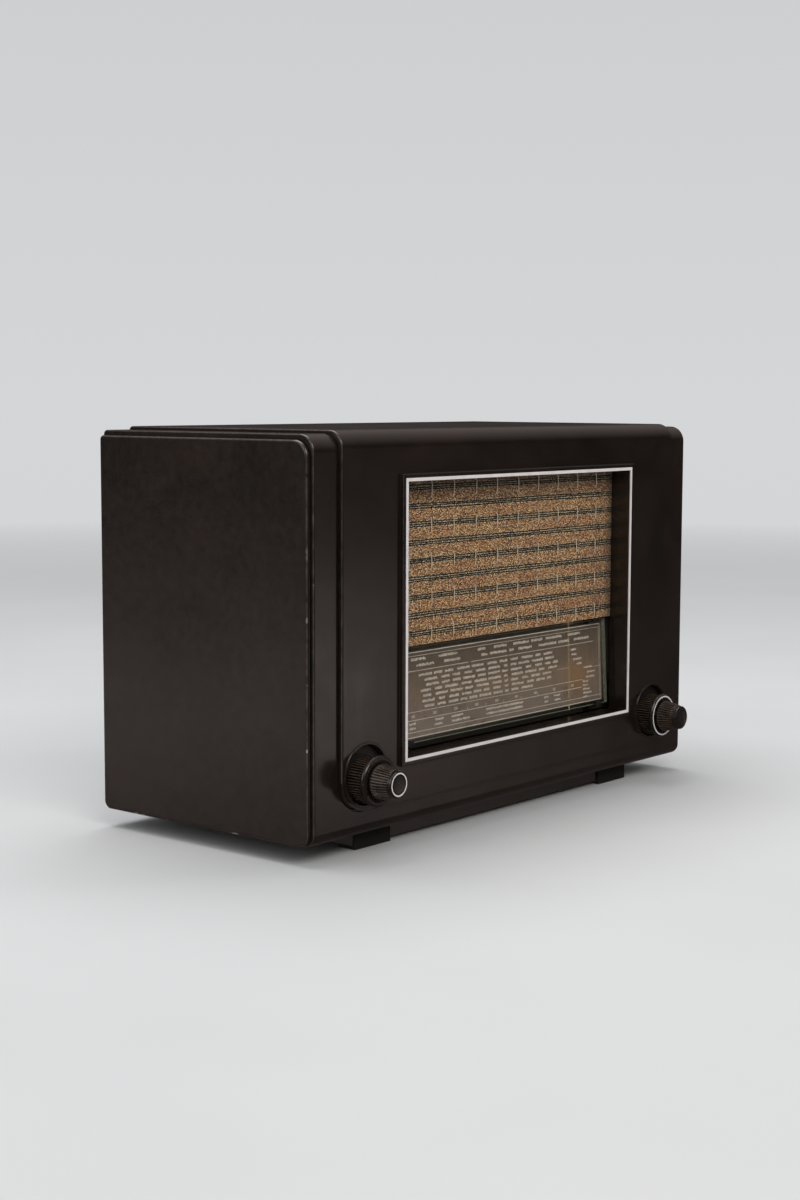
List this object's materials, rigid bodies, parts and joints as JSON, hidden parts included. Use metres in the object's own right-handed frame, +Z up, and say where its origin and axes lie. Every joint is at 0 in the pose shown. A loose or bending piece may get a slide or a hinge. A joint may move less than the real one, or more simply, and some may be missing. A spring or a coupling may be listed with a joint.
{
  "type": "bakelite table radio",
  "caption": "Dark brown moulded table radio with a framed grille-cloth and glass tuning dial window, concentric control knobs at both lower corners and a working cord-driven pointer.",
  "frame": {"origin": "centre of the overall footprint, on the table plane under the feet", "axes": "+X to the right seen from the front, +Y towards the rear cover, +Z up; the window and knobs face -Y"},
  "size_m": [0.44, 0.2246, 0.2762],
  "materials": {
    "bakelite": "dark brown mottled moulding, worn satin polish",
    "knob_plastic": "near-black brown moulding, handled",
    "ivory_plastic": "off-white, aged",
    "grille_cloth": "woven gold and brown bands with dark and cream threads",
    "plywood": "raw plywood",
    "hardboard": "pressed board, dull",
    "plated_steel": "dull plated sheet",
    "screw_steel": "plain screws",
    "dial_paint": "brown-grey enamel on sheet steel",
    "dial_glass": "printed clear glass",
    "lamp_glass": "clear",
    "valve_glass": "clear with a silvery top",
    "rubber": "matt black",
    "pointer_paint": "orange enamel",
    "brass": "dull",
    "copper": "enamelled copper",
    "aluminium": "satin",
    "cord": "waxed cord",
    "paper": "black pulp",
    "phenolic": "laminated sheet",
    "black_moulding": "black moulding",
    "iron": "dark iron",
    "wax": "waxed tubes",
    "resistor_body": "lacquered bodies"
  },
  "bodies": {
    "radio": {"cabinet_shell": "bakelite", "window_trim": "ivory_plastic", "feet": "rubber", "bottom_cover": "hardboard", "rear_cover": "hardboard", "cover_screws": "screw_steel", "baffle_board": "plywood", "speaker_cloth": "grille_cloth", "board_screws": "screw_steel", "speaker_frame": "plated_steel", "speaker_surround": "paper", "speaker_magnet": "iron", "dial_glass": "dial_glass", "glass_pads": "rubber", "glass_clips": "black_moulding", "dial_plate": "dial_paint", "lamp_holders": "plated_steel", "dial_lamps": "lamp_glass", "dial_cord": "cord", "spindle_bush": "brass", "waveband_switch": "phenolic", "switch_bracket": "plated_steel", "volume_tone_control": "plated_steel", "control_nut": "brass", "gang_frame": "plated_steel", "gang_stators": "aluminium", "stator_rods": "phenolic", "chassis": "plated_steel", "chassis_bolts": "screw_steel", "mains_transformer_core": "iron", "mains_transformer_coil": "phenolic", "output_transformer_core": "iron", "output_transformer_coil": "phenolic", "valve_sockets": "black_moulding", "valve_bulbs": "valve_glass", "valve_electrodes": "plated_steel", "smoothing_capacitor": "aluminium", "if_cans": "aluminium", "if_coils": "phenolic", "aerial_sockets": "black_moulding", "mains_inlet": "black_moulding"},
    "tone": {"tone_knob": "knob_plastic", "tone_shaft": "brass"},
    "volume": {"volume_knob": "knob_plastic", "volume_shaft": "brass"},
    "waveband": {"waveband_knob": "knob_plastic", "waveband_shaft": "brass", "waveband_rotor": "phenolic"},
    "tuning": {"tuning_knob": "knob_plastic", "tuning_spindle": "brass"},
    "tuner": {"gang_rotor": "aluminium", "cord_drum": "aluminium", "cord_spring": "screw_steel"},
    "pointer": {"dial_pointer": "pointer_paint", "pointer_carriage": "plated_steel"},
    "pulley_top_left": {"pulley_top_left": "brass"},
    "pulley_low_left": {"pulley_low_left": "brass"},
    "pulley_top_right": {"pulley_top_right": "brass"},
    "cone": {"speaker_cone": "paper", "voice_coil": "copper"}
  },
  "joints": [
    {"name": "volume_turn", "type": "hinge", "parent": "radio", "child": "volume", "pos_m": [-0.1695, -0.07905, 0.0512], "axis": [0, 1, 0], "range_deg": [-140, 140]},
    {"name": "tone_turn", "type": "hinge", "parent": "radio", "child": "tone", "pos_m": [-0.1695, -0.07905, 0.0512], "axis": [0, 1, 0], "range_deg": [-140, 140]},
    {"name": "waveband_turn", "type": "hinge", "parent": "radio", "child": "waveband", "pos_m": [0.1695, -0.07905, 0.0512], "axis": [0, 1, 0], "range_deg": [-30, 60]},
    {"name": "tuner_turn", "type": "hinge", "parent": "radio", "child": "tuner", "pos_m": [0.1, -0.05105, 0.116], "axis": [0, 1, 0], "range_deg": [-175.5, 4]},
    {"name": "tuning_turn", "type": "hinge", "parent": "radio", "child": "tuning", "pos_m": [0.1695, -0.07905, 0.0512], "axis": [0, 1, 0], "range_deg": [-2633, 61]},
    {"name": "pointer_slide", "type": "slide", "parent": "radio", "child": "pointer", "axis": [1, 0, 0], "range_m": [-0.1839, 0.0043]},
    {"name": "pulley_top_left_turn", "type": "hinge", "parent": "radio", "child": "pulley_top_left", "pos_m": [-0.118, -0.05555, 0.136], "axis": [0, 1, 0], "range_deg": [-1756, 41]},
    {"name": "pulley_low_left_turn", "type": "hinge", "parent": "radio", "child": "pulley_low_left", "pos_m": [-0.118, -0.05555, 0.066], "axis": [0, 1, 0], "range_deg": [-1756, 41]},
    {"name": "pulley_top_right_turn", "type": "hinge", "parent": "radio", "child": "pulley_top_right", "pos_m": [0.1675, -0.05555, 0.136], "axis": [0, 1, 0], "range_deg": [-1756, 41]},
    {"name": "cone_slide", "type": "slide", "parent": "radio", "child": "cone", "axis": [0, 1, 0], "range_m": [-0.0015, 0.0015], "stiffness_N_per_m": 1500, "deforming": ["speaker_surround"]}
  ],
  "couplings": [
    {"joint": "tuning_turn", "follows": "tuner_turn", "ratio": 15},
    {"joint": "pointer_slide", "follows": "tuner_turn", "m_per_rad": 0.06},
    {"joint": "pulley_top_left_turn", "follows": "tuner_turn", "ratio": 10},
    {"joint": "pulley_low_left_turn", "follows": "tuner_turn", "ratio": 10},
    {"joint": "pulley_top_right_turn", "follows": "tuner_turn", "ratio": 10}
  ]
}
